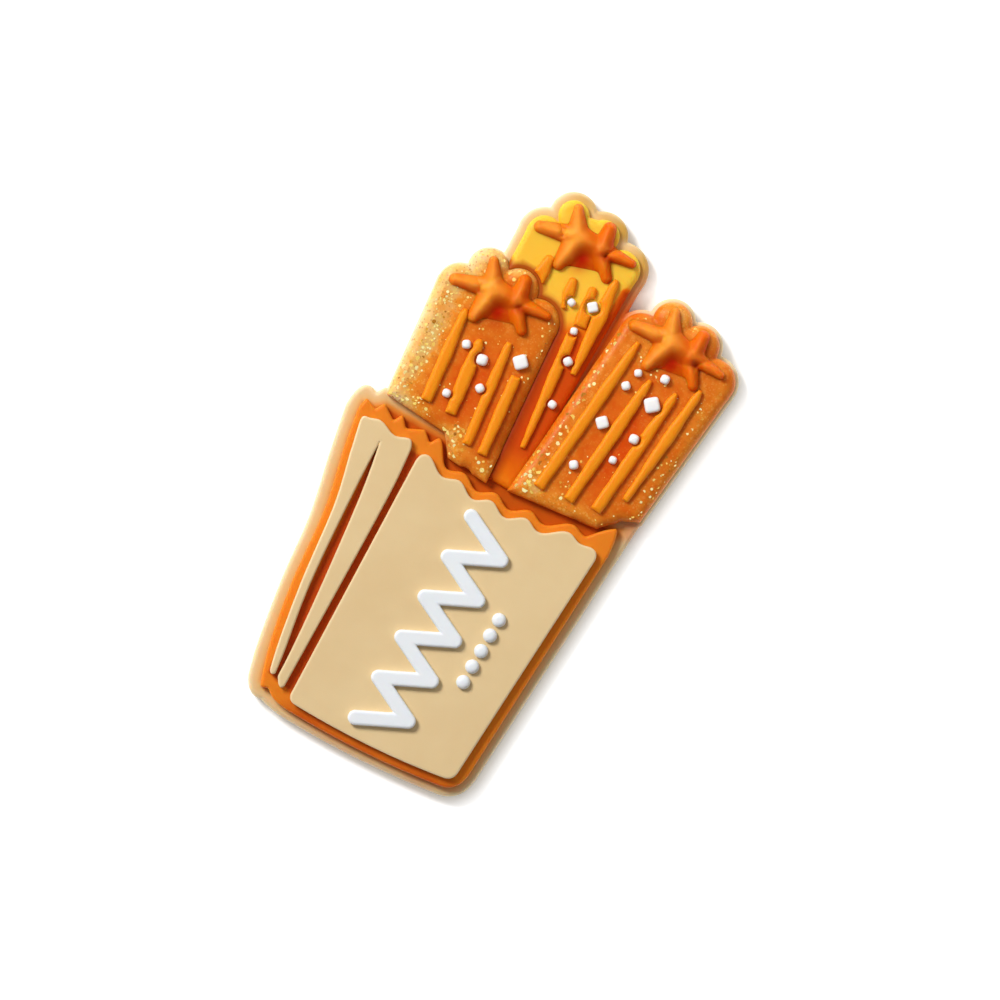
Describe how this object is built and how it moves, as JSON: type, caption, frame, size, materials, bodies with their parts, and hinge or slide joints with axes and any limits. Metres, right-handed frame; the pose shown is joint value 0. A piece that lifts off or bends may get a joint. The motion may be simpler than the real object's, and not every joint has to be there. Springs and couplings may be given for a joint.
{
  "type": "churro shoe charm",
  "caption": "Flat moulded soft-plastic shoe charm: a pleated paper carton of churros with raised ridges, star-shaped ends, sugar grains and a glitter finish",
  "frame": {"origin": "on the flat back, under the middle of the charm's bounding box", "axes": "X across the carton to its right, Y up the carton towards the churros' star-shaped ends, Z out of the flat back towards the shown face"},
  "size_m": [0.0232, 0.0424, 0.0033],
  "materials": {
    "backing_amber": "clear amber soft PVC, pale at thin edges",
    "liner_orange": "satin orange soft PVC",
    "carton_tan": "satin kraft-paper tan soft PVC",
    "glitter_amber": "clear amber soft PVC with gold glitter",
    "churro_yellow": "satin golden yellow, orange at the stem",
    "ridge_orange": "satin orange soft PVC",
    "sugar_white": "satin white soft PVC",
    "label_white": "satin white soft PVC"
  },
  "bodies": {
    "root": {"backing": "backing_amber", "liner": "liner_orange", "front_panel": "carton_tan", "side_pleats": "carton_tan", "churro_left": "glitter_amber", "churro_right": "glitter_amber", "churro_back": "churro_yellow", "star_left": "ridge_orange", "star_right": "ridge_orange", "star_back": "ridge_orange", "ridge_left_1": "ridge_orange", "ridge_left_2": "ridge_orange", "ridge_left_3": "ridge_orange", "ridge_left_4": "ridge_orange", "sugar_left_1": "sugar_white", "sugar_left_2": "sugar_white", "sugar_left_3": "sugar_white", "sugar_left_4": "sugar_white", "sugar_left_5": "sugar_white", "ridge_right_1": "ridge_orange", "ridge_right_2": "ridge_orange", "ridge_right_3": "ridge_orange", "ridge_right_4": "ridge_orange", "sugar_right_1": "sugar_white", "sugar_right_2": "sugar_white", "sugar_right_3": "sugar_white", "sugar_right_4": "sugar_white", "sugar_right_5": "sugar_white", "sugar_right_6": "sugar_white", "sugar_right_7": "sugar_white", "sugar_right_8": "sugar_white", "ridge_back_1": "ridge_orange", "ridge_back_2": "ridge_orange", "ridge_back_3": "ridge_orange", "ridge_back_4": "ridge_orange", "ridge_back_5": "ridge_orange", "sugar_back_1": "sugar_white", "sugar_back_2": "sugar_white", "sugar_back_3": "sugar_white", "sugar_back_4": "sugar_white", "sugar_back_5": "sugar_white", "label_zigzag": "label_white", "label_drop_1": "label_white", "label_drop_2": "label_white", "label_drop_3": "label_white", "label_drop_4": "label_white", "label_drop_5": "label_white"}
  },
  "joints": []
}
